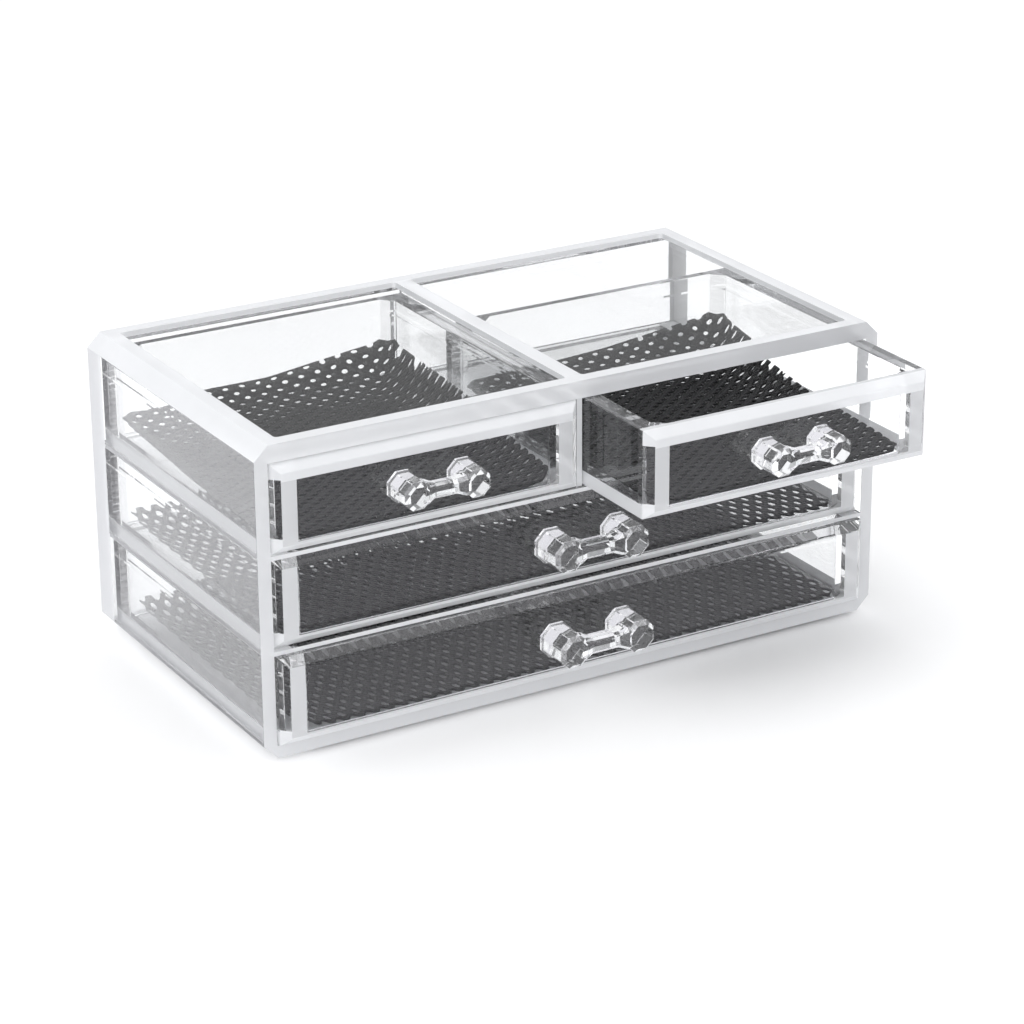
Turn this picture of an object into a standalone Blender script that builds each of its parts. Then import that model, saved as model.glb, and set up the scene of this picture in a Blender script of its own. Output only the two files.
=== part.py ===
"""Clear plastic organizer: a chamfered case with three tiers and four pull-out drawers.

Metres, +Z up. X runs along the width, the drawers pull out towards -Y, and the feet stand on z = 0.
Each drawer holds a loose net liner on its floor and carries a handle on its front.
"""

import math

import bmesh
import bpy
from mathutils import Matrix, Vector

# Clearance between pieces that touch on the real object
GAP = 0.0003

# Case
CASE_WIDTH = 0.240
CASE_DEPTH = 0.128
CASE_HEIGHT = 0.1085
CORNER_CHAMFER = 0.005
SIDE_WALL = 0.0048
BACK_WALL = 0.0048
BOTTOM_WALL = 0.0044
TOP_WALL = 0.0063
TOP_RECESS_DEPTH = 0.002
TOP_RIM = 0.005
TOP_RIB_WIDTH = 0.006
SHELF_THICKNESS = 0.0015
DIVIDER_THICKNESS = 0.0022
DIVIDER_SETBACK = 0.0015

# Feet
FOOT_RADIUS = 0.00275
FOOT_HEIGHT = 0.0012
FOOT_INSET_X = 0.012
FOOT_INSET_Y = 0.007
FOOT_SIDES = 24

# Drawers: one-piece trays with a thick, mitred front
DRAWER_SIDE_CLEARANCE = 0.0004
DRAWER_TOP_CLEARANCE = 0.0004
DRAWER_BACK_CLEARANCE = 0.0004
DRAWER_SIDE_WALL = 0.0063
DRAWER_BACK_WALL = 0.003
DRAWER_FRONT_WALL = 0.005
DRAWER_FLOOR = 0.002
FRONT_CHAMFER = 0.003
INSIDE_CORNER_CHAMFER = 0.0042
FLOOR_EDGE_RADIUS = 0.0015
FLOOR_EDGE_STEPS = 3

# How far each drawer stands out of the case in the resting pose
PULLED_OUT = {"top_left": 0.002, "top_right": 0.038, "middle": 0.0005, "bottom": 0.004}

# Liners: flat nets of diamond-shaped gaps
NET_THICKNESS = 0.001
NET_STRAND = 0.0014
NET_MARGIN = 0.0025
NET_GAPS_WIDE = (8, 7)
NET_GAPS_NARROW = (5, 6)

# Derived places, in the case's own frame: middle of the width and depth, underside of the case at 0
INNER_HALF_WIDTH = CASE_WIDTH / 2 - SIDE_WALL
FRONT_Y = -CASE_DEPTH / 2
BACK_Y = CASE_DEPTH / 2
INNER_BACK_Y = BACK_Y - BACK_WALL
CEILING_Z = CASE_HEIGHT - TOP_WALL
BAY_HEIGHT = (CEILING_Z - BOTTOM_WALL - 2 * SHELF_THICKNESS) / 3
BAY_PITCH = BAY_HEIGHT + SHELF_THICKNESS
DRAWER_HEIGHT = BAY_HEIGHT - GAP - DRAWER_TOP_CLEARANCE
DRAWER_DEPTH = INNER_BACK_Y - DRAWER_BACK_CLEARANCE - FRONT_Y

CLEAR_PLASTIC = {"color": (0.93, 0.95, 0.96, 1.0), "roughness": 0.05, "metallic": 0.0}
BLACK_PLASTIC = {"color": (0.012, 0.012, 0.013, 1.0), "roughness": 0.45, "metallic": 0.0}


class HandleSize:
    """Sizes of one handle: two posts along Y and a bar along X between them."""

    def __init__(self, pitch, across, length, bar_height, bar_depth):
        self.pitch = pitch
        self.across = across
        self.length = length
        self.bar_height = bar_height
        self.bar_depth = bar_depth
        self.bar_setback = 0.0015
        self.post_chamfer = 0.0014
        self.bar_chamfer = 0.0013
        self.ring_length = 0.0010
        self.ring_growth = 0.0006
        self.flare_length = 0.0022
        self.flare_growth = 0.0010


SMALL_HANDLE = HandleSize(pitch=0.0220, across=0.0095, length=0.0125, bar_height=0.0052, bar_depth=0.0054)
LARGE_HANDLE = HandleSize(pitch=0.0256, across=0.0110, length=0.0140, bar_height=0.0060, bar_depth=0.0060)


# Each drawer's tier counted from the bottom, its reach in x, its handle and the gaps of its liner
def drawer_plan():
    wide = INNER_HALF_WIDTH - DRAWER_SIDE_CLEARANCE
    middle = DIVIDER_THICKNESS / 2 + DRAWER_SIDE_CLEARANCE
    return {
        "bottom": (0, -wide, wide, LARGE_HANDLE, NET_GAPS_WIDE),
        "middle": (1, -wide, wide, LARGE_HANDLE, NET_GAPS_WIDE),
        "top_left": (2, -wide, -middle, SMALL_HANDLE, NET_GAPS_NARROW),
        "top_right": (2, middle, wide, SMALL_HANDLE, NET_GAPS_NARROW),
    }


def clear_scene():
    for scene_object in list(bpy.data.objects):
        bpy.data.objects.remove(scene_object, do_unlink=True)


def make_material(name, look):
    material = bpy.data.materials.new(name)
    material.use_nodes = True
    shader = material.node_tree.nodes["Principled BSDF"]
    shader.inputs["Base Color"].default_value = look["color"]
    shader.inputs["Roughness"].default_value = look["roughness"]
    shader.inputs["Metallic"].default_value = look["metallic"]
    material.diffuse_color = look["color"]
    return material


def add_empty(name, location, parent=None):
    empty = bpy.data.objects.new(name, None)
    empty.location = location
    empty.parent = parent
    bpy.context.scene.collection.objects.link(empty)
    return empty


def add_mesh(name, mesh_data, parent, location=(0.0, 0.0, 0.0), material=None):
    mesh = bpy.data.meshes.new(name)
    mesh_data.to_mesh(mesh)
    mesh_data.free()
    if material:
        mesh.materials.append(material)
    new_object = bpy.data.objects.new(name, mesh)
    new_object.location = location
    new_object.parent = parent
    bpy.context.scene.collection.objects.link(new_object)
    return new_object


def mark_as_cutter(cutter):
    cutter.hide_render = True
    cutter.display_type = "WIRE"


def add_boolean(target, cutter, operation):
    mark_as_cutter(cutter)
    modifier = target.modifiers.new(cutter.name, "BOOLEAN")
    modifier.operation = operation
    modifier.solver = "EXACT"
    modifier.object = cutter


def box_mesh(low, high):
    """A box between two corners."""
    low = Vector(low)
    high = Vector(high)
    mesh = bmesh.new()
    bmesh.ops.create_cube(mesh, size=1.0)
    size = high - low
    middle = (low + high) / 2
    bmesh.ops.transform(mesh, verts=mesh.verts, matrix=Matrix.Translation(middle) @ Matrix.Diagonal(size).to_4x4())
    return mesh


def bevel_edges(mesh, edges, width, steps=1):
    bmesh.ops.bevel(
        mesh,
        geom=edges,
        offset=width,
        offset_type="OFFSET",
        segments=steps,
        profile=0.5,
        affect="EDGES",
        material=-1,
    )


def loft_mesh(rings):
    """A closed solid through rings of points, capped at both ends."""
    mesh = bmesh.new()
    loops = [[mesh.verts.new(point) for point in ring] for ring in rings]
    for loop, following in zip(loops, loops[1:]):
        for index in range(len(loop)):
            after = (index + 1) % len(loop)
            mesh.faces.new((loop[index], loop[after], following[after], following[index]))
    mesh.faces.new(loops[0])
    mesh.faces.new(loops[-1])
    bmesh.ops.recalc_face_normals(mesh, faces=mesh.faces)
    return mesh


# The case
def side_panel_outline(side):
    """Section of a side panel in x and z, thinned to an edge by the corner chamfers."""
    outer = CASE_WIDTH / 2
    chamfer_rest = CORNER_CHAMFER - SIDE_WALL
    return [
        (side * INNER_HALF_WIDTH, chamfer_rest),
        (side * outer, CORNER_CHAMFER),
        (side * outer, CASE_HEIGHT - CORNER_CHAMFER),
        (side * INNER_HALF_WIDTH, CASE_HEIGHT - chamfer_rest),
    ]


def make_side_panel(name, side, parent, material):
    outline = side_panel_outline(side)
    rings = [[(x, y, z) for x, z in outline] for y in (FRONT_Y, BACK_Y)]
    return add_mesh(name, loft_mesh(rings), parent, material=material)


def make_top_panel(parent, material):
    reach = INNER_HALF_WIDTH - GAP
    panel = add_mesh(
        "top_panel",
        box_mesh((-reach, FRONT_Y, CEILING_Z), (reach, BACK_Y, CASE_HEIGHT)),
        parent,
        material=material,
    )
    recess_outer = CASE_WIDTH / 2 - TOP_RIM - CORNER_CHAMFER
    recess_floor = CASE_HEIGHT - TOP_RECESS_DEPTH
    above = CASE_HEIGHT + TOP_RIM
    for side, label in ((-1, "left"), (1, "right")):
        ends = sorted((side * TOP_RIB_WIDTH / 2, side * recess_outer))
        cutter = add_mesh(
            "top_recess_" + label,
            box_mesh((ends[0], FRONT_Y + TOP_RIM, recess_floor), (ends[1], BACK_Y - TOP_RIM, above)),
            parent,
        )
        add_boolean(panel, cutter, "DIFFERENCE")
    return panel


def make_flat_panels(parent, material):
    reach = INNER_HALF_WIDTH - GAP
    add_mesh(
        "bottom_panel",
        box_mesh((-reach, FRONT_Y, 0.0), (reach, BACK_Y, BOTTOM_WALL)),
        parent,
        material=material,
    )
    add_mesh(
        "back_panel",
        box_mesh((-reach, INNER_BACK_Y, BOTTOM_WALL + GAP), (reach, BACK_Y, CEILING_Z - GAP)),
        parent,
        material=material,
    )
    for name, tier in (("lower_shelf", 1), ("upper_shelf", 2)):
        underside = BOTTOM_WALL + tier * BAY_PITCH - SHELF_THICKNESS
        add_mesh(
            name,
            box_mesh((-reach, FRONT_Y, underside), (reach, INNER_BACK_Y - GAP, underside + SHELF_THICKNESS)),
            parent,
            material=material,
        )
    half = DIVIDER_THICKNESS / 2
    floor = BOTTOM_WALL + 2 * BAY_PITCH
    add_mesh(
        "centre_divider",
        box_mesh(
            (-half, FRONT_Y + DIVIDER_SETBACK, floor + GAP),
            (half, INNER_BACK_Y - GAP, CEILING_Z - GAP),
        ),
        parent,
        material=material,
    )


def make_feet(parent, material):
    for side, side_name in ((-1, "left"), (1, "right")):
        for end, end_name in ((-1, "front"), (1, "back")):
            mesh = bmesh.new()
            bmesh.ops.create_cone(
                mesh,
                cap_ends=True,
                segments=FOOT_SIDES,
                radius1=FOOT_RADIUS,
                radius2=FOOT_RADIUS,
                depth=FOOT_HEIGHT,
            )
            x = side * (CASE_WIDTH / 2 - FOOT_INSET_X)
            y = end * (CASE_DEPTH / 2 - FOOT_INSET_Y)
            name = "foot_" + end_name + "_" + side_name
            foot = add_mesh(name, mesh, parent, (x, y, -GAP - FOOT_HEIGHT / 2), material)
            foot.data.shade_smooth()
            foot.data.set_sharp_from_angle(angle=math.radians(40))


# The drawers
def drawer_ring(left, right, y, shrink):
    return [
        (left + shrink, y, shrink),
        (right - shrink, y, shrink),
        (right - shrink, y, DRAWER_HEIGHT - shrink),
        (left + shrink, y, DRAWER_HEIGHT - shrink),
    ]


def hollow_mesh(half_width):
    """The inside of a tray, reaching up past its rim, with chamfered corners and rounded floor edges."""
    mesh = box_mesh(
        (-half_width, DRAWER_FRONT_WALL, DRAWER_FLOOR),
        (half_width, DRAWER_DEPTH - DRAWER_BACK_WALL, 2 * DRAWER_HEIGHT),
    )
    upright = [edge for edge in mesh.edges if abs(edge.verts[0].co.z - edge.verts[1].co.z) > DRAWER_HEIGHT]
    bevel_edges(mesh, upright, INSIDE_CORNER_CHAMFER)
    lowest = [edge for edge in mesh.edges if all(vertex.co.z < 2 * DRAWER_FLOOR for vertex in edge.verts)]
    bevel_edges(mesh, lowest, FLOOR_EDGE_RADIUS, FLOOR_EDGE_STEPS)
    return mesh


def make_tray(name, half_width, parent, material):
    """A tray in its own frame: its front face at y = 0 and its underside at z = 0."""
    rings = [
        drawer_ring(-half_width, half_width, 0.0, FRONT_CHAMFER),
        drawer_ring(-half_width, half_width, FRONT_CHAMFER, 0.0),
        drawer_ring(-half_width, half_width, DRAWER_DEPTH, 0.0),
    ]
    tray = add_mesh("drawer_" + name, loft_mesh(rings), parent, material=material)
    cutter = add_mesh("hollow_" + name, hollow_mesh(half_width - DRAWER_SIDE_WALL), parent)
    add_boolean(tray, cutter, "DIFFERENCE")
    return tray


def octagon(radius_across, centre_x, y):
    """An octagon facing -Y with flat sides, as wide across them as given."""
    radius = radius_across / 2 / math.cos(math.pi / 8)
    angles = [math.pi / 8 + math.pi / 4 * step for step in range(8)]
    return [(centre_x + radius * math.cos(a), y, radius * math.sin(a)) for a in angles]


def post_rings(size, centre_x):
    ring_across = size.across + 2 * size.ring_growth
    return [
        octagon(ring_across, centre_x, 0.0),
        octagon(ring_across, centre_x, -size.ring_length),
        octagon(size.across, centre_x, -size.ring_length - size.ring_growth),
        octagon(size.across, centre_x, -size.length + size.post_chamfer),
        octagon(size.across - 2 * size.post_chamfer, centre_x, -size.length),
    ]


def bar_section(size, x, growth):
    """The bar's eight-cornered section in y and z, made larger all round by the growth."""
    depth = size.bar_depth / 2 + growth
    height = size.bar_height / 2 + growth
    middle_y = -size.length + size.bar_setback + size.bar_depth / 2
    cut = size.bar_chamfer
    corners = [
        (-depth, -height + cut),
        (-depth + cut, -height),
        (depth - cut, -height),
        (depth, -height + cut),
        (depth, height - cut),
        (depth - cut, height),
        (-depth + cut, height),
        (-depth, height - cut),
    ]
    return [(x, middle_y + y, z) for y, z in corners]


def bar_rings(size):
    post_face = size.pitch / 2 - size.across / 2
    stations = [
        (-size.pitch / 2, size.flare_growth),
        (-post_face - size.post_chamfer / 2, size.flare_growth),
        (-post_face + size.flare_length, 0.0),
        (post_face - size.flare_length, 0.0),
        (post_face + size.post_chamfer / 2, size.flare_growth),
        (size.pitch / 2, size.flare_growth),
    ]
    return [bar_section(size, x, growth) for x, growth in stations]


def make_handle(name, size, parent, material):
    location = (0.0, -GAP, DRAWER_HEIGHT / 2)
    handle = add_mesh(
        "handle_" + name,
        loft_mesh(post_rings(size, -size.pitch / 2)),
        parent,
        location,
        material,
    )
    other_post = add_mesh("handle_post_" + name, loft_mesh(post_rings(size, size.pitch / 2)), parent, location)
    bar = add_mesh("handle_bar_" + name, loft_mesh(bar_rings(size)), parent, location)
    add_boolean(handle, bar, "UNION")
    add_boolean(handle, other_post, "UNION")
    return handle


def net_mesh(width, depth, columns, rows):
    """A flat net: diamonds that share their corners, each reduced to its border strands."""
    mesh = bmesh.new()
    corners = {}

    def corner(half_column, half_row):
        key = (half_column, half_row)
        if key not in corners:
            x = half_column * width / (2 * columns) - width / 2
            y = half_row * depth / (2 * rows) - depth / 2
            corners[key] = mesh.verts.new((x, y, 0.0))
        return corners[key]

    def diamond(centre_column, centre_row):
        mesh.faces.new(
            (
                corner(centre_column - 1, centre_row),
                corner(centre_column, centre_row - 1),
                corner(centre_column + 1, centre_row),
                corner(centre_column, centre_row + 1),
            )
        )

    for column in range(columns):
        for row in range(rows):
            diamond(2 * column + 1, 2 * row + 1)
    for column in range(1, columns):
        for row in range(1, rows):
            diamond(2 * column, 2 * row)
    mesh.normal_update()
    gaps = bmesh.ops.inset_individual(mesh, faces=mesh.faces[:], thickness=NET_STRAND / 2)
    strands = set(gaps["faces"])
    bmesh.ops.delete(mesh, geom=[face for face in mesh.faces if face not in strands], context="FACES_ONLY")
    return mesh


def make_liner(name, half_width, gaps, parent, material):
    width = 2 * (half_width - DRAWER_SIDE_WALL - NET_MARGIN)
    inner_depth = DRAWER_DEPTH - DRAWER_FRONT_WALL - DRAWER_BACK_WALL
    depth = inner_depth - 2 * NET_MARGIN
    middle_y = DRAWER_FRONT_WALL + inner_depth / 2
    location = (0.0, middle_y, DRAWER_FLOOR + GAP)
    liner = add_mesh("liner_" + name, net_mesh(width, depth, *gaps), parent, location, material)
    solidify = liner.modifiers.new("thickness", "SOLIDIFY")
    solidify.thickness = NET_THICKNESS
    solidify.offset = 1.0
    return liner


def make_drawers(case_frame, clear, black):
    for name, (tier, left, right, handle_size, gaps) in drawer_plan().items():
        floor = BOTTOM_WALL + tier * BAY_PITCH + GAP
        slide = add_empty("slide_" + name, ((left + right) / 2, FRONT_Y - PULLED_OUT[name], floor), case_frame)
        half_width = (right - left) / 2
        make_tray(name, half_width, slide, clear)
        make_handle(name, handle_size, slide, clear)
        make_liner(name, half_width, gaps, slide, black)


def resting_middle_y():
    """Middle of the whole object's depth, from the handle fronts to the back of the case."""
    foremost = min(
        FRONT_Y - PULLED_OUT[name] - GAP - plan[3].length for name, plan in drawer_plan().items()
    )
    return (foremost + BACK_Y) / 2


def build():
    clear_scene()
    clear = make_material("clear_plastic", CLEAR_PLASTIC)
    black = make_material("black_net_plastic", BLACK_PLASTIC)
    case_frame = add_empty("case_frame", (0.0, -resting_middle_y(), FOOT_HEIGHT + GAP))
    make_side_panel("left_side_panel", -1, case_frame, clear)
    make_side_panel("right_side_panel", 1, case_frame, clear)
    make_top_panel(case_frame, clear)
    make_flat_panels(case_frame, clear)
    make_feet(case_frame, clear)
    make_drawers(case_frame, clear, black)


build()
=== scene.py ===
import math
import random

import bmesh
import bpy
from mathutils import Matrix, Vector


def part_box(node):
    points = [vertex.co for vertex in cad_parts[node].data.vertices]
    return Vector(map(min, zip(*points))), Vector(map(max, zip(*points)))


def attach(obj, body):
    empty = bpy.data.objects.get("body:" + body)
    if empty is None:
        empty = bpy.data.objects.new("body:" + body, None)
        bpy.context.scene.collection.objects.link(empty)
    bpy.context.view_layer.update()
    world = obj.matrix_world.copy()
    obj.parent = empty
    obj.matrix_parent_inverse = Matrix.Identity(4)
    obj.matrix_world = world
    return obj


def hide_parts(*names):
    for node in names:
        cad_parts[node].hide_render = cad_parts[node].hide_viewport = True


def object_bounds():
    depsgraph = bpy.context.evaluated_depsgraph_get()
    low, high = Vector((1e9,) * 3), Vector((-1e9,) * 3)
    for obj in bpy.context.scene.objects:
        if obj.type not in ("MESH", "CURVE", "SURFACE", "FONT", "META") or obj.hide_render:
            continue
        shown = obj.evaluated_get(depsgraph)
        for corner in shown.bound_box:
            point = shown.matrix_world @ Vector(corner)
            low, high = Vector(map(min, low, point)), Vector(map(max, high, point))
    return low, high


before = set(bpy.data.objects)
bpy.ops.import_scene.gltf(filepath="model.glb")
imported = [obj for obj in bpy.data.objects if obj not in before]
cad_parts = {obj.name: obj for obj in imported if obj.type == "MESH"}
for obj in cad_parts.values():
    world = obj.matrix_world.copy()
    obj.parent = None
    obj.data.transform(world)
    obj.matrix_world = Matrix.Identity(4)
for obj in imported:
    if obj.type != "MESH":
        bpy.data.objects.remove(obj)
cad_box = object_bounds()
MM = 0.001

# Case: one clear moulded shell of styrene, open at the front. Its long corners are chamfered,
# two thin shelves and a divider make the drawer bays, and the top has two shallow recesses.
# It is polished, with faint flow waves and smudges, but cloudy on its rims, posts and shelf edges.
# The cloud is darker on the front faces and rear posts as painted shade, and lighter on the rims, shelf
# edges and top as painted light.
EDGE_ROUNDING = 0.3 * MM
NARROW_FACET = 1.3 * MM
CASE_CHAMFER = 5.0 * MM
RECESS_DEPTH = 2.0 * MM
RECESS_RIM = 5.0 * MM
RECESS_RIB = 6.0 * MM
RECESS_CORNER = 1.2 * MM
REAR_POST = 11.0 * MM
SHELF_EDGE = 7.0 * MM
PLASTIC_IOR = 1.5
CLEAR_TINT = (0.990, 0.993, 0.995, 1.0)
SMUDGED_TINT = (0.970, 0.974, 0.980, 1.0)
SHADOW_TINT = (0.996, 0.996, 0.997, 1.0)
# Lightness of the cloudy plastic: darker on fronts as painted shade, lighter on rims and top as painted
# light.
SHADED_FRONT_HAZE = 0.79
LIT_TOP_HAZE = 0.88
HAZE_TINT = (1.0, 1.01, 1.03)
HAZE_SPREAD = (0.94, 1.04)
FACING = 0.9
SLANTED = 0.5
ON_FACE = 0.2 * MM


class Signal:
    """A node's output, on which arithmetic adds Math nodes."""

    def __init__(self, tree, socket):
        self.tree = tree
        self.socket = socket

    def maths(self, operation, first, second):
        node = self.tree.nodes.new("ShaderNodeMath")
        node.operation = operation
        for entry, value in zip(node.inputs, (first, second)):
            plug_in(self.tree, entry, value)
        return Signal(self.tree, node.outputs[0])

    def __add__(self, other):
        return self.maths("ADD", self, other)

    def __radd__(self, other):
        return self.maths("ADD", other, self)

    def __sub__(self, other):
        return self.maths("SUBTRACT", self, other)

    def __rsub__(self, other):
        return self.maths("SUBTRACT", other, self)

    def __mul__(self, other):
        return self.maths("MULTIPLY", self, other)

    def __rmul__(self, other):
        return self.maths("MULTIPLY", other, self)

    def __pow__(self, other):
        return self.maths("POWER", self, other)


def plug_in(tree, entry, value):
    if isinstance(value, Signal):
        tree.links.new(value.socket, entry)
    else:
        entry.default_value = value


class Finish:
    """A material's or world's nodes, added one by one."""

    def __init__(self, tree):
        self.tree = tree
        tree.nodes.clear()

    def node(self, kind, settings=None, values=None, output=0):
        node = self.tree.nodes.new("ShaderNode" + kind)
        for name, setting in (settings or {}).items():
            setattr(node, name, setting)
        for name, value in (values or {}).items():
            plug_in(self.tree, node.inputs[name], value)
        return Signal(self.tree, node.outputs[output])

    def end(self, kind, surface):
        node = self.tree.nodes.new("ShaderNode" + kind)
        plug_in(self.tree, node.inputs["Surface"], surface)


def clear_plastic(name, wave_scale, wave_height):
    material = bpy.data.materials.new(name)
    material.use_nodes = True
    finish = Finish(material.node_tree)
    place = finish.node("TexCoord", output="Object")
    waves = finish.node("TexNoise", values={"Vector": place, "Scale": wave_scale, "Detail": 1.0})
    grain = finish.node("TexNoise", values={"Vector": place, "Scale": 900.0, "Detail": 2.0})
    smudges = finish.node(
        "TexNoise",
        values={"Vector": place, "Scale": 34.0, "Detail": 5.0, "Roughness": 0.7},
    )
    smudge = smudges ** 6.0
    tint = finish.node(
        "Mix",
        {"data_type": "RGBA"},
        {"Factor": smudge * 4.0, "A": CLEAR_TINT, "B": SMUDGED_TINT},
        output="Result",
    )
    bump = finish.node(
        "Bump",
        values={"Height": waves + grain * 0.002, "Strength": 1.0, "Distance": wave_height},
    )
    plastic = finish.node(
        "BsdfPrincipled",
        values={
            "Base Color": tint,
            "Roughness": 0.004 + smudge * 0.25,
            "IOR": PLASTIC_IOR,
            "Transmission Weight": 1.0,
            "Normal": bump,
        },
    )
    lamp_rays = finish.node("LightPath", output="Is Shadow Ray")
    unshaded = finish.node("BsdfTransparent", values={"Color": SHADOW_TINT})
    mixed = finish.node("MixShader", values={0: lamp_rays, 1: plastic, 2: unshaded})
    finish.end("OutputMaterial", mixed)
    return material


def hazy_edge(name, lightness):
    """The same plastic where it is matt and cloudy: cut, moulded and bonded edges. Its lightness is set
    per copy, so darker copies paint shade and lighter ones paint light.
    """
    material = bpy.data.materials.new(name)
    material.use_nodes = True
    finish = Finish(material.node_tree)
    place = finish.node("TexCoord", output="Object")
    cloud = finish.node("TexNoise", values={"Vector": place, "Scale": 55.0, "Detail": 4.0})
    grain = finish.node("TexNoise", values={"Vector": place, "Scale": 1400.0, "Detail": 2.0})
    cloudy, cleaner = (
        [lightness * share * tint for tint in HAZE_TINT] + [1.0] for share in HAZE_SPREAD
    )
    colour = finish.node(
        "Mix",
        {"data_type": "RGBA"},
        {"Factor": cloud, "A": cloudy, "B": cleaner},
        output="Result",
    )
    bump = finish.node("Bump", values={"Height": grain, "Strength": 0.3, "Distance": 0.00005})
    plastic = finish.node(
        "BsdfPrincipled",
        values={
            "Base Color": colour,
            "Roughness": 0.10 + cloud * 0.16,
            "IOR": PLASTIC_IOR,
            "Transmission Weight": 0.15,
            "Normal": bump,
        },
    )
    lamp_rays = finish.node("LightPath", output="Is Shadow Ray")
    unshaded = finish.node("BsdfTransparent", values={"Color": SHADOW_TINT})
    mixed = finish.node("MixShader", values={0: lamp_rays, 1: plastic, 2: unshaded})
    finish.end("OutputMaterial", mixed)
    return material


def new_piece(name, shape, material):
    mesh = bpy.data.meshes.new(name)
    shape.to_mesh(mesh)
    shape.free()
    mesh.materials.append(material)
    piece = bpy.data.objects.new(name, mesh)
    bpy.context.scene.collection.objects.link(piece)
    return piece


def block(low, high):
    shape = bmesh.new()
    bmesh.ops.create_cube(shape, size=1.0)
    low = Vector(low)
    high = Vector(high)
    fit = Matrix.Translation((low + high) / 2) @ Matrix.Diagonal(high - low).to_4x4()
    bmesh.ops.transform(shape, verts=shape.verts, matrix=fit)
    return shape


def edges_along(shape, axis):
    return [
        edge
        for edge in shape.edges
        if abs((edge.verts[1].co - edge.verts[0].co).normalized()[axis]) > 0.99
    ]


def bevel_edges(shape, edges, width, steps=1):
    bmesh.ops.bevel(
        shape,
        geom=edges,
        offset=width,
        offset_type="OFFSET",
        segments=steps,
        profile=0.5,
        affect="EDGES",
        material=-1,
    )


def cut_out(piece, shapes):
    """Takes the shapes out of the piece's mesh."""
    cutters = [new_piece("cutter", shape, piece.data.materials[0]) for shape in shapes]
    for cutter in cutters:
        cut = piece.modifiers.new("cut", "BOOLEAN")
        cut.operation = "DIFFERENCE"
        cut.solver = "EXACT"
        cut.object = cutter
    bpy.context.view_layer.update()
    carved = piece.evaluated_get(bpy.context.evaluated_depsgraph_get())
    carved = bpy.data.meshes.new_from_object(carved)
    piece.modifiers.clear()
    piece.data = carved
    for cutter in cutters:
        bpy.data.objects.remove(cutter)


def score_face(piece, place, across):
    """Divides the piece's faces where a plane crosses them, without changing its form."""
    shape = bmesh.new()
    shape.from_mesh(piece.data)
    everything = shape.verts[:] + shape.edges[:] + shape.faces[:]
    bmesh.ops.bisect_plane(shape, geom=everything, plane_co=place, plane_no=across, dist=0.000001)
    shape.to_mesh(piece.data)
    shape.free()


def set_hazy(piece, material, is_hazy):
    """Gives the hazy material to the faces that the test picks."""
    piece.data.materials.append(material)
    for face in piece.data.polygons:
        if is_hazy(face.center, face.normal):
            face.material_index = len(piece.data.materials) - 1


def soften_edges(piece, width, smooth_below):
    """Rounds the sharp edges; only facets narrower than the limit are shaded as a curve."""
    corners = piece.data.vertices
    for face in piece.data.polygons:
        longest = max((corners[a].co - corners[b].co).length for a, b in face.edge_keys)
        face.use_smooth = face.area / longest < smooth_below
    bevel = piece.modifiers.new("fine edges", "BEVEL")
    bevel.width = width
    bevel.segments = 2
    bevel.limit_method = "ANGLE"
    bevel.angle_limit = math.radians(34)
    bevel.use_clamp_overlap = True


def is_mitre(normal):
    return sum(abs(part) > SLANTED for part in normal) == 2


case_plastic = clear_plastic("clear_styrene_case", 22.0, 0.00003)
# Darker and lighter copies of one cloudy plastic, painting shade on the fronts and light on the rims.
case_front_painted_shade = hazy_edge("hazy_styrene_case_front_painted_shade", SHADED_FRONT_HAZE)
case_rims_painted_light = hazy_edge("hazy_styrene_case_rims_painted_light", LIT_TOP_HAZE)
left_low, left_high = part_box("left_side_panel")
right_low, right_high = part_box("right_side_panel")
bottom_low, bottom_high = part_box("bottom_panel")
top_low, top_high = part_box("top_panel")
back_low, back_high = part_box("back_panel")
lower_low, lower_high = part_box("lower_shelf")
upper_low, upper_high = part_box("upper_shelf")
divider_low, divider_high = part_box("centre_divider")

case_shape = block((left_low.x, top_low.y, bottom_low.z), (right_high.x, top_high.y, top_high.z))
bevel_edges(case_shape, edges_along(case_shape, 1), CASE_CHAMFER)
case_shell = new_piece("case_shell", case_shape, case_plastic)
front = top_low.y - CASE_CHAMFER
bays = [
    block((left_high.x, front, bottom_high.z), (right_low.x, back_low.y, lower_low.z)),
    block((left_high.x, front, lower_high.z), (right_low.x, back_low.y, upper_low.z)),
    block((left_high.x, front, upper_high.z), (divider_low.x, back_low.y, top_low.z)),
    block((divider_high.x, front, upper_high.z), (right_low.x, back_low.y, top_low.z)),
    block((divider_low.x - MM, front, upper_high.z), (divider_high.x + MM, divider_low.y, top_low.z)),
]
recesses = [
    block(
        (low, top_low.y + RECESS_RIM, top_high.z - RECESS_DEPTH),
        (high, top_high.y - RECESS_RIM, top_high.z + RECESS_DEPTH),
    )
    for low, high in (
        (left_low.x + CASE_CHAMFER + RECESS_RIM, -RECESS_RIB / 2),
        (RECESS_RIB / 2, right_high.x - CASE_CHAMFER - RECESS_RIM),
    )
]
for recess in recesses:
    bevel_edges(recess, edges_along(recess, 2), RECESS_CORNER, 4)
cut_out(case_shell, bays + recesses)
score_face(case_shell, (0, back_low.y, 0), (0, 1, 0))
score_face(case_shell, (0, back_high.y - REAR_POST, 0), (0, 1, 0))
score_face(case_shell, (left_high.x + SHELF_EDGE, 0, 0), (1, 0, 0))
score_face(case_shell, (right_low.x - SHELF_EDGE, 0, 0), (1, 0, 0))
score_face(case_shell, (left_high.x, 0, 0), (1, 0, 0))
score_face(case_shell, (right_low.x, 0, 0), (1, 0, 0))
# The darker cloudy copy, as painted shade, goes on the front faces and on the rear posts' outer faces.
set_hazy(
    case_shell,
    case_front_painted_shade,
    lambda centre, normal: (normal.y < -FACING and centre.y < divider_low.y + MM)
    or (
        abs(normal.x) > FACING
        and abs(centre.x) > right_high.x - MM
        and centre.y > back_high.y - REAR_POST
    ),
)
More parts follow.
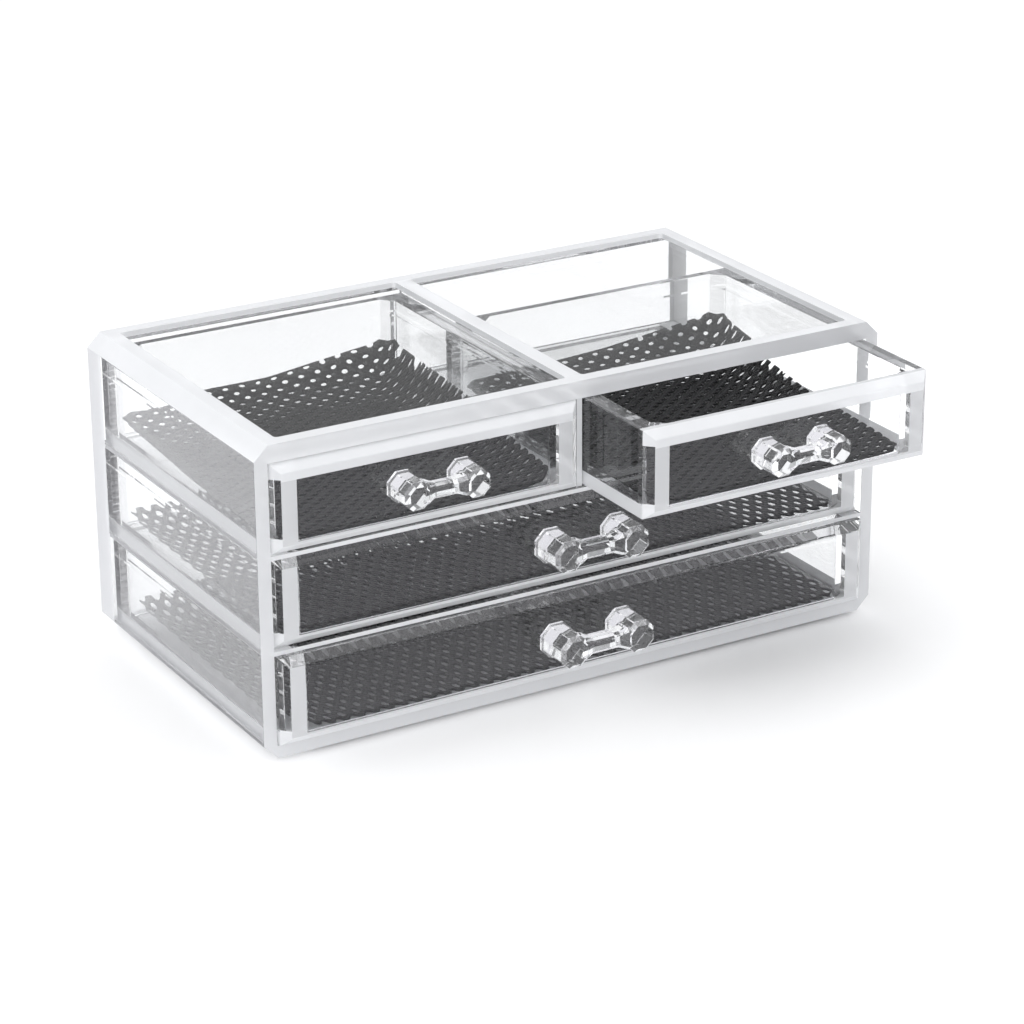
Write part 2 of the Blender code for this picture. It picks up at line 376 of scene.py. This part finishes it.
# The lighter cloudy copy, as painted light, goes on the mitres, shelf edges, back posts, top, bottom and
# recess walls.
set_hazy(
    case_shell,
    case_rims_painted_light,
    lambda centre, normal: is_mitre(normal)
    or (
        normal.z < -FACING
        and lower_low.z - MM < centre.z < upper_high.z
        and abs(centre.x) > right_low.x - SHELF_EDGE
    )
    or (normal.y > FACING and centre.y > back_high.y - ON_FACE and abs(centre.x) > right_low.x)
    or (normal.z > FACING and centre.z > top_high.z - ON_FACE)
    or (normal.z < -FACING and centre.z < bottom_low.z + ON_FACE)
    or (
        abs(normal.z) < SLANTED
        and centre.z > top_high.z - RECESS_DEPTH
        and top_low.y + MM < centre.y < top_high.y - MM
    ),
)
soften_edges(case_shell, EDGE_ROUNDING, NARROW_FACET)
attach(case_shell, "case")
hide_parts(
    "left_side_panel",
    "right_side_panel",
    "top_panel",
    "bottom_panel",
    "back_panel",
    "upper_shelf",
    "lower_shelf",
    "centre_divider",
)

# Feet: four small clear discs under the corners of the case.
# They are moulded, with a softly rounded rim.
FOOT_ROUNDING = 0.3 * MM


def tidied_copy(node):
    """A node's shape with its loose triangles joined into whole faces."""
    shape = bmesh.new()
    shape.from_mesh(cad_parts[node].data)
    bmesh.ops.remove_doubles(shape, verts=shape.verts, dist=0.000005)
    bmesh.ops.dissolve_limit(
        shape,
        angle_limit=math.radians(0.5),
        use_dissolve_boundaries=False,
        verts=shape.verts,
        edges=shape.edges,
    )
    return shape


foot_plastic = clear_plastic("clear_styrene_feet", 60.0, 0.00003)
for place in ("front_left", "front_right", "back_left", "back_right"):
    foot = new_piece("clear_foot_" + place, tidied_copy("foot_" + place), foot_plastic)
    soften_edges(foot, FOOT_ROUNDING, NARROW_FACET)
    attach(foot, "case")
    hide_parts("foot_" + place)

# Drawers: four clear moulded trays with thick walls, a thin floor and a mitred front.
# They are cloudy round the front's window, on its lower mitres and along the foot of the side
# walls, and on the top drawers' upper edge too. The rest is polished.
# The cloud round the window is darker as painted shade, and the cloud on the rims and feet is lighter as
# painted light.
TRAY_SIDE_WALL = 6.3 * MM
TRAY_FRONT_WALL = 5.0 * MM
TRAY_BACK_WALL = 3.0 * MM
TRAY_CORNER = 4.2 * MM
WINDOW_SIDE = 8.5 * MM
WINDOW_TOP = 5.9 * MM
WINDOW_BOTTOM = 3.9 * MM
CLEAR_MITRE_ENDS = (5.6 * MM, 5.2 * MM)
# Lightness of the cloud round the window, darker as painted shade.
SHADED_WINDOW_HAZE = 0.71
TRAY_CLOUDY_FOOT = 5.0 * MM
DRAWER_NAMES = ("top_left", "top_right", "middle", "bottom")
drawer_plastic = clear_plastic("clear_styrene_drawers", 26.0, 0.00003)
# Darker and lighter copies of one cloudy plastic, painting shade round the window and light on the rims.
drawer_fronts_painted_shade = hazy_edge("hazy_styrene_drawer_fronts_painted_shade", SHADED_WINDOW_HAZE)
drawer_rims_painted_light = hazy_edge("hazy_styrene_drawer_rims_painted_light", LIT_TOP_HAZE)
for name in DRAWER_NAMES:
    tray = new_piece("clear_tray_" + name, tidied_copy("drawer_" + name), drawer_plastic)
    tray_low, tray_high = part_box("drawer_" + name)
    window_low = tray_low + Vector((WINDOW_SIDE, TRAY_FRONT_WALL, WINDOW_BOTTOM))
    window_high = tray_high - Vector((WINDOW_SIDE, 0.0, WINDOW_TOP))
    mitre_low = tray_low.z + CLEAR_MITRE_ENDS[0]
    mitre_high = tray_high.z - CLEAR_MITRE_ENDS[1]
    cloudy_top = name.startswith("top")
    for across_x in (window_low.x, window_high.x):
        score_face(tray, (across_x, 0, 0), (1, 0, 0))
    foot_top = tray_low.z + TRAY_CLOUDY_FOOT
    for across_z in (window_low.z, window_high.z, mitre_low, mitre_high, foot_top):
        score_face(tray, (0, 0, across_z), (0, 0, 1))
    score_face(tray, (0, window_low.y, 0), (0, 1, 0))
    # The darker cloudy copy, as painted shade, goes round the front's window and on the top drawers' upper
    # edge.
    set_hazy(
        tray,
        drawer_fronts_painted_shade,
        lambda centre, normal: (
            normal.y < -FACING
            and centre.y < tray_low.y + ON_FACE
            and (not window_low.x < centre.x < window_high.x or centre.z < window_low.z)
        )
        or (
            cloudy_top
            and normal.z > FACING
            and centre.z > tray_high.z - ON_FACE
            and centre.y < window_low.y
        ),
    )
    # The lighter cloudy copy, as painted light, goes on the lower mitres, the foot of the side walls and
    # the top drawers' upper mitres.
    set_hazy(
        tray,
        drawer_rims_painted_light,
        lambda centre, normal: (is_mitre(normal) and centre.y < window_low.y and centre.z < mitre_low)
        or (
            abs(normal.x) > FACING
            and not tray_low.x + MM < centre.x < tray_high.x - MM
            and centre.z < foot_top
        )
        or (cloudy_top and is_mitre(normal) and centre.y < window_low.y and centre.z > mitre_high)
        or (
            cloudy_top
            and centre.z > window_high.z
            and normal.y < -FACING
            and centre.y < tray_low.y + ON_FACE
        ),
    )
    soften_edges(tray, EDGE_ROUNDING, NARROW_FACET)
    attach(tray, name + "_drawer")
    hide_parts("drawer_" + name)

# Handles: clear pulls moulded as two eight-sided posts with a faceted bar between them.
# Each is bonded to the middle of its drawer's front.
HANDLE_ROUNDING = 0.2 * MM
handle_plastic = clear_plastic("clear_styrene_handles", 90.0, 0.00002)
for name in DRAWER_NAMES:
    handle = new_piece("clear_handle_" + name, tidied_copy("handle_" + name), handle_plastic)
    soften_edges(handle, HANDLE_ROUNDING, 0.0)
    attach(handle, name + "_drawer")
    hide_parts("handle_" + name)

# Liners: black knitted nets of soft vinyl cord, cut from a roll and laid loose in the drawers.
# Every gap is edged by its own beaded chain, and two chains side by side make a strand. The nets
# are cut a little too large, so their edges turn up against the walls.
NET_CELLS = {"top_left": (6.4, 4.6), "top_right": (6.4, 4.6), "middle": (5.4, 8.6), "bottom": (5.4, 8.6)}
NET_CHAINS = {"top_left": 1.55, "top_right": 1.55, "middle": 1.25, "bottom": 1.25}
NET_THICKNESS = 0.8 * MM
NET_WALL_GAP = 1.0 * MM
NET_WOBBLE = 0.3 * MM
NET_TURN = math.radians(1.2)
NET_STUB = 0.9 * MM
BEADS_PER_STRAND = 3.0
BEAD_SLANT = 0.4
# The cord is coloured darker between the beads as painted shade and lighter on the bead tops as painted
# highlight.
PAINTED_SHADE_BETWEEN_BEADS = (0.0012, 0.0012, 0.0014, 1.0)
PAINTED_HIGHLIGHT_BEAD_TOPS = (0.016, 0.016, 0.018, 1.0)
TURN_UP_WIDTH = 16.0 * MM
TURN_UP_BACK_WIDTH = 22.0 * MM
# How far each net's edge stands up, in mm: left and right at the front, middle and back, then the back
TURN_UP = {
    "top_left": ((2.0, 4.0, 8.0), (4.0, 10.0, 14.0), 8.0),
    "top_right": ((3.0, 4.0, 6.0), (1.0, 4.5, 14.0), 8.5),
    "middle": ((2.5, 2.5, 5.0), (0.5, 0.5, 0.5), 3.0),
    "bottom": ((4.0, 5.0, 6.0), (0.5, 0.5, 0.5), 3.0),
}


def net_material():
    material = bpy.data.materials.new("black_vinyl_net")
    material.use_nodes = True
    finish = Finish(material.node_tree)
    place = finish.node("TexCoord", output="Object")
    chain = finish.node("TexCoord", output="UV")
    along = finish.node("SeparateXYZ", values={0: chain}, output="X")
    across = finish.node("SeparateXYZ", values={0: chain}, output="Y")
    mottle = finish.node("TexNoise", values={"Vector": place, "Scale": 260.0, "Detail": 3.0})
    pores = finish.node("TexVoronoi", values={"Vector": place, "Scale": 2600.0})
    run = (along * BEADS_PER_STRAND + across * BEAD_SLANT) * math.pi
    wave = finish.node("Math", {"operation": "SINE"}, {0: run})
    beads = finish.node("Math", {"operation": "ABSOLUTE"}, {0: wave})
    half = finish.node("Math", {"operation": "ABSOLUTE"}, {0: across})
    roundness = finish.node("Math", {"operation": "SINE"}, {0: half * math.pi})
    relief = beads * (0.35 + roundness * 0.65)
    # Painted shade between the beads and painted highlight on their tops, following the relief; the mottle
    # is random tone.
    colour = finish.node(
        "Mix",
        {"data_type": "RGBA"},
        {"Factor": relief * (0.4 + mottle * 0.6), "A": PAINTED_SHADE_BETWEEN_BEADS, "B": PAINTED_HIGHLIGHT_BEAD_TOPS},
        output="Result",
    )
    bump = finish.node(
        "Bump",
        values={"Height": relief + pores * 0.12, "Strength": 1.0, "Distance": 0.0004},
    )
    vinyl = finish.node(
        "BsdfPrincipled",
        values={
            "Base Color": colour,
            "Roughness": 0.30 + mottle * 0.3,
            "Specular IOR Level": 0.3,
            "Normal": bump,
        },
    )
    finish.end("OutputMaterial", vinyl)
    return material


def map_chains(shape, rings, nodes):
    """Maps each strand's two chains: along it from node to node, and across it from its middle."""
    chain = shape.loops.layers.uv.new("chain")
    for face in rings:
        start, end = sorted((vertex for vertex in face.verts if vertex in nodes), key=lambda v: v.co.x)
        run = end.co - start.co
        side = 1.0 if run.cross(face.calc_center_median() - start.co).z > 0 else -1.0
        for loop in face.loops:
            along = (loop.vert.co - start.co).dot(run) / run.length_squared
            loop[chain].uv = (along, 0.0 if loop.vert in nodes else side)


def trim(shape, point, outward):
    bmesh.ops.bisect_plane(
        shape,
        geom=shape.verts[:] + shape.edges[:] + shape.faces[:],
        plane_co=point,
        plane_no=outward,
        clear_outer=True,
        dist=0.000001,
    )


def between(heights, share):
    front, middle, back = heights
    if share < 0.5:
        return front + (middle - front) * share * 2
    return middle + (back - middle) * (share * 2 - 1)


def turn_up(place, low, high, left, right, back):
    """How far the net stands up at a place, in metres."""
    share_x = min(max((place.x - low.x) / (high.x - low.x), 0.0), 1.0)
    share_y = min(max((place.y - low.y) / (high.y - low.y), 0.0), 1.0)
    rises = (
        (between(left, share_y), (place.x - low.x) / TURN_UP_WIDTH),
        (between(right, share_y), (high.x - place.x) / TURN_UP_WIDTH),
        (between((left[2], back, right[2]), share_x), (high.y - place.y) / TURN_UP_BACK_WIDTH),
    )
    heights = [height * max(1.0 - max(near, 0.0), 0.0) ** 2 for height, near in rises]
    return sum(height**3 for height in heights) ** (1 / 3) * MM


def net_shape(low, high, cell, chain, stubs, seed):
    """A net of diamond gaps between two corners, lying on the lower one's height."""
    chance = random.Random(seed)
    middle = (low + high) / 2
    size = high - low
    count = math.ceil(size.x / cell.x + size.y / cell.y) + 6
    shape = bmesh.new()
    bmesh.ops.create_grid(shape, x_segments=count, y_segments=count, size=count / math.sqrt(8.0))
    turn = Matrix.Rotation(math.radians(45), 4, "Z")
    stretch = Matrix.Diagonal((cell.x, cell.y, 1.0, 1.0))
    last_nodes = high.x - (NET_STUB if stubs else 0.0)
    shift = (last_nodes - middle.x) % (cell.x / 2)
    lay = Matrix.Translation((middle.x + shift, middle.y, low.z))
    bmesh.ops.transform(shape, verts=shape.verts, matrix=lay @ stretch @ turn)
    inside = -cell.x if stubs else cell.x / 2 - 0.1 * MM
    beyond = [
        face
        for face in shape.faces
        if not (low.x + inside < face.calc_center_median().x < high.x - inside)
        or not (low.y - cell.y < face.calc_center_median().y < high.y + cell.y)
    ]
    bmesh.ops.delete(shape, geom=beyond, context="FACES")
    if stubs:
        bmesh.ops.rotate(
            shape,
            verts=shape.verts,
            cent=middle,
            matrix=Matrix.Rotation(NET_TURN, 3, "Z"),
        )
    for vertex in shape.verts:
        vertex.co.x += chance.uniform(-1, 1) * NET_WOBBLE * (1.0 if vertex.co.x < high.x - cell.x else 0.3)
        vertex.co.y += chance.uniform(-1, 1) * NET_WOBBLE
    shape.normal_update()
    nodes = set(shape.verts)
    rings = set(bmesh.ops.inset_individual(shape, faces=shape.faces[:], thickness=chain)["faces"])
    map_chains(shape, rings, nodes)
    holes = [face for face in shape.faces if face not in rings]
    bmesh.ops.delete(shape, geom=holes, context="FACES_ONLY")
    trim(shape, low, Vector((-1, 0, 0)))
    trim(shape, low, Vector((0, -1, 0)))
    trim(shape, high, Vector((1, 0, 0)))
    trim(shape, high, Vector((0, 1, 0)))
    cut = Vector((TRAY_CORNER, 0.0, 0.0))
    trim(shape, low + cut, Vector((-1, -1, 0)))
    trim(shape, high - cut, Vector((1, 1, 0)))
    trim(shape, Vector((low.x, high.y, low.z)) + cut, Vector((-1, 1, 0)))
    trim(shape, Vector((high.x, low.y, low.z)) - cut, Vector((1, -1, 0)))
    frayed = [
        face
        for face in shape.faces
        if stubs and face.calc_center_median().x > high.x - NET_STUB and chance.random() < 0.15
    ]
    bmesh.ops.delete(shape, geom=frayed, context="FACES")
    return shape


net_vinyl = net_material()
for seed, name in enumerate(DRAWER_NAMES):
    tray_low, tray_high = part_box("drawer_" + name)
    net_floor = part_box("liner_" + name)[0].z
    net_low = Vector((tray_low.x + TRAY_SIDE_WALL, tray_low.y + TRAY_FRONT_WALL, net_floor))
    net_high = Vector((tray_high.x - TRAY_SIDE_WALL, tray_high.y - TRAY_BACK_WALL, net_floor))
    margin = Vector((NET_WALL_GAP, NET_WALL_GAP, 0.0))
    net_low, net_high = net_low + margin, net_high - margin
    cell = Vector(NET_CELLS[name]) * MM
    net = new_piece(
        "black_net_" + name,
        net_shape(net_low, net_high, cell, NET_CHAINS[name] * MM, name.startswith("top"), seed),
        net_vinyl,
    )
    for vertex in net.data.vertices:
        vertex.co.z += turn_up(vertex.co, net_low, net_high, *TURN_UP[name])
    thicken = net.modifiers.new("thickness", "SOLIDIFY")
    thicken.thickness = NET_THICKNESS
    thicken.offset = 1.0
    rounding = net.modifiers.new("round strands", "SUBSURF")
    rounding.levels = 1
    rounding.render_levels = 1
    for face in net.data.polygons:
        face.use_smooth = True
    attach(net, name + "_drawer")
    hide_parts("liner_" + name)

# Floor: a wide sheet of matt white card, which takes the soft shadow under the case.
# Mirrored in the plastic it glows as a painted reflection, brightest at the back left and dimming to the
# front right.
FLOOR_REACH = 6.0
FLOOR_WHITE = (0.985, 0.985, 0.985, 1.0)
FLOOR_FIBRE = (0.98, 0.98, 0.98, 1.0)
# Tint of the card's painted glow, seen in reflections and through the front of the case.
PAINTED_GLOW_TINT = (0.95, 0.945, 1.0, 1.0)
# Seen through the plastic, the card glows dimmer in front of the case as painted shade, and brighter
# towards the right as painted glare.
PAINTED_FRONT_SHADE_LEVEL = 0.85
PAINTED_GLARE_LEVEL = 0.35
floor_card = bpy.data.materials.new("white_card")
floor_card.use_nodes = True
card = Finish(floor_card.node_tree)
card_place = card.node("TexCoord", output="Object")
card_fibre = card.node("TexNoise", values={"Vector": card_place, "Scale": 9.0})
card_colour = card.node(
    "Mix",
    {"data_type": "RGBA"},
    {"Factor": card_fibre, "A": FLOOR_WHITE, "B": FLOOR_FIBRE},
    output="Result",
)
card_face = card.node("BsdfDiffuse", values={"Color": card_colour})
across = card.node("SeparateXYZ", values={0: card_place}, output="X")
along = card.node("SeparateXYZ", values={0: card_place}, output="Y")
seen_through = card.node("LightPath", output="Is Transmission Ray")
mirrored = card.node("LightPath", output="Is Glossy Ray") * (1.0 - seen_through)
# Fade of the painted reflection, from the back left to the front right.
painted_reflection_fade = card.node(
    "MapRange",
    values={"Value": across - along, "From Min": 0.0, "From Max": 0.42, "To Min": 1.0, "To Max": 0.2},
)
right_of_case = card.node(
    "MapRange",
    {"interpolation_type": "SMOOTHSTEP"},
    {"Value": across, "From Min": -0.12, "From Max": -0.02, "To Min": 0.0, "To Max": 1.0},
)
behind_front = card.node(
    "MapRange",
    {"interpolation_type": "SMOOTHSTEP"},
    {"Value": along, "From Min": -0.07, "From Max": 0.0, "To Min": 0.0, "To Max": 1.0},
)
# The card glows as a painted reflection for mirrored rays, and as dimmer painted shade for rays seen
# through the front.
painted_glow_card = card.node(
    "Emission",
    values={"Color": PAINTED_GLOW_TINT, "Strength": painted_reflection_fade * mirrored + seen_through * PAINTED_FRONT_SHADE_LEVEL},
)
# Painted glare: rays seen through the plastic find the card glowing brighter towards the right.
painted_glare = card.node(
    "Emission",
    values={"Color": FLOOR_WHITE, "Strength": seen_through * right_of_case * PAINTED_GLARE_LEVEL},
)
card_with_painted_glare = card.node("AddShader", values={0: card_face, 1: painted_glare})
# Where the painted glow replaces the lit card: all mirrored rays, and seen-through rays in front of the
# case.
painted_glow_mask = mirrored + seen_through * (1.0 - behind_front)
card_look = card.node("MixShader", values={0: painted_glow_mask, 1: card_with_painted_glare, 2: painted_glow_card})
card.end("OutputMaterial", card_look)
floor_shape = bmesh.new()
bmesh.ops.create_grid(floor_shape, x_segments=1, y_segments=1, size=FLOOR_REACH)
floor = new_piece("floor", floor_shape, floor_card)

# Light: an even white dome, and above it all a softbox for the highlights.
# The plastic mirrors a room that is bright overhead and softer at the sides, with a black flag behind.
DOME_LIGHT = 1.0
FLAG_DIRECTION = (0.482, 0.794, 0.370)
FLAG_LEVEL = 0.3
ROOM_AT_SIDES = 0.6
ROOM_OVERHEAD = 1.3
THROUGH_AT_SIDES = 1.05
THROUGH_OVERHEAD = 1.25
SKY_COLOUR = (0.98, 0.985, 1.0, 1.0)
world = bpy.data.worlds.new("studio")
bpy.context.scene.world = world
world.use_nodes = True
sky = Finish(world.node_tree)
direction = sky.node("TexCoord", output="Generated")
upward = sky.node("SeparateXYZ", values={0: direction}, output="Z")
overhead = sky.node(
    "MapRange",
    {"interpolation_type": "SMOOTHSTEP"},
    {"Value": upward, "From Min": 0.55, "From Max": 0.85, "To Min": 0.0, "To Max": 1.0},
)
facing_flag = sky.node(
    "VectorMath", {"operation": "DOT_PRODUCT"}, {0: direction, 1: FLAG_DIRECTION}, output="Value"
)
flag = sky.node(
    "MapRange",
    {"interpolation_type": "SMOOTHSTEP"},
    {"Value": facing_flag, "From Min": 0.82, "From Max": 0.95, "To Min": 0.0, "To Max": 1.0},
)
glossy = sky.node("LightPath", output="Is Glossy Ray")
seen_through = sky.node("LightPath", output="Is Transmission Ray")
room_mirrored = ROOM_AT_SIDES + overhead * (ROOM_OVERHEAD - ROOM_AT_SIDES)
room_through = THROUGH_AT_SIDES + overhead * (THROUGH_OVERHEAD - THROUGH_AT_SIDES)
room_level = room_mirrored + seen_through * (room_through - room_mirrored)
room_level = room_level + flag * (FLAG_LEVEL - room_level)
level = DOME_LIGHT + glossy * (room_level - DOME_LIGHT)
sky.end("OutputWorld", sky.node("Background", values={"Color": SKY_COLOUR, "Strength": level}))


def softbox(name, place, aim, width, height, power):
    light = bpy.data.lights.new(name, "AREA")
    light.shape = "RECTANGLE"
    light.size = width
    light.size_y = height
    light.energy = power
    lamp = bpy.data.objects.new(name, light)
    lamp.location = place
    lamp.rotation_euler = (Vector(aim) - Vector(place)).to_track_quat("-Z", "Y").to_euler()
    lamp.visible_camera = False
    bpy.context.scene.collection.objects.link(lamp)
    return lamp


middle_of_case = (cad_box[0] + cad_box[1]) / 2
softbox("overhead_softbox", (-0.2, 0.1, 1.0), middle_of_case, 0.7, 0.7, 3.0)

# Camera: a long lens, seen from the front left and above, with a small shift for the framing.
CAMERA_AIM = Vector((0.03486, 0.0254, 0.04066))
CAMERA_DISTANCE = 1.2095
CAMERA_AZIMUTH = math.radians(-31.27)
CAMERA_ELEVATION = math.radians(21.74)
CAMERA_SHIFT = (-0.05795, -0.01723)
LENS_IN_PIXELS = 3397.91
PICTURE_WIDTH = 1024
camera_data = bpy.data.cameras.new("camera")
camera_data.sensor_width = 36.0
camera_data.lens = LENS_IN_PIXELS / PICTURE_WIDTH * camera_data.sensor_width
camera_data.shift_x, camera_data.shift_y = CAMERA_SHIFT
camera_data.clip_start = 0.01
camera = bpy.data.objects.new("camera", camera_data)
camera_back = Vector(
    (
        math.sin(CAMERA_AZIMUTH) * math.cos(CAMERA_ELEVATION),
        -math.cos(CAMERA_AZIMUTH) * math.cos(CAMERA_ELEVATION),
        math.sin(CAMERA_ELEVATION),
    )
)
camera.location = CAMERA_AIM + camera_back * CAMERA_DISTANCE
camera.rotation_euler = (-camera_back).to_track_quat("-Z", "Y").to_euler()
bpy.context.scene.collection.objects.link(camera)
bpy.context.scene.camera = camera

scene = bpy.context.scene
scene.view_settings.view_transform = "Standard"
scene.cycles.max_bounces = 40
scene.cycles.transmission_bounces = 40
scene.cycles.glossy_bounces = 40
scene.cycles.diffuse_bounces = 3
scene.cycles.caustics_reflective = False
scene.cycles.caustics_refractive = True
scene.cycles.transparent_max_bounces = 64
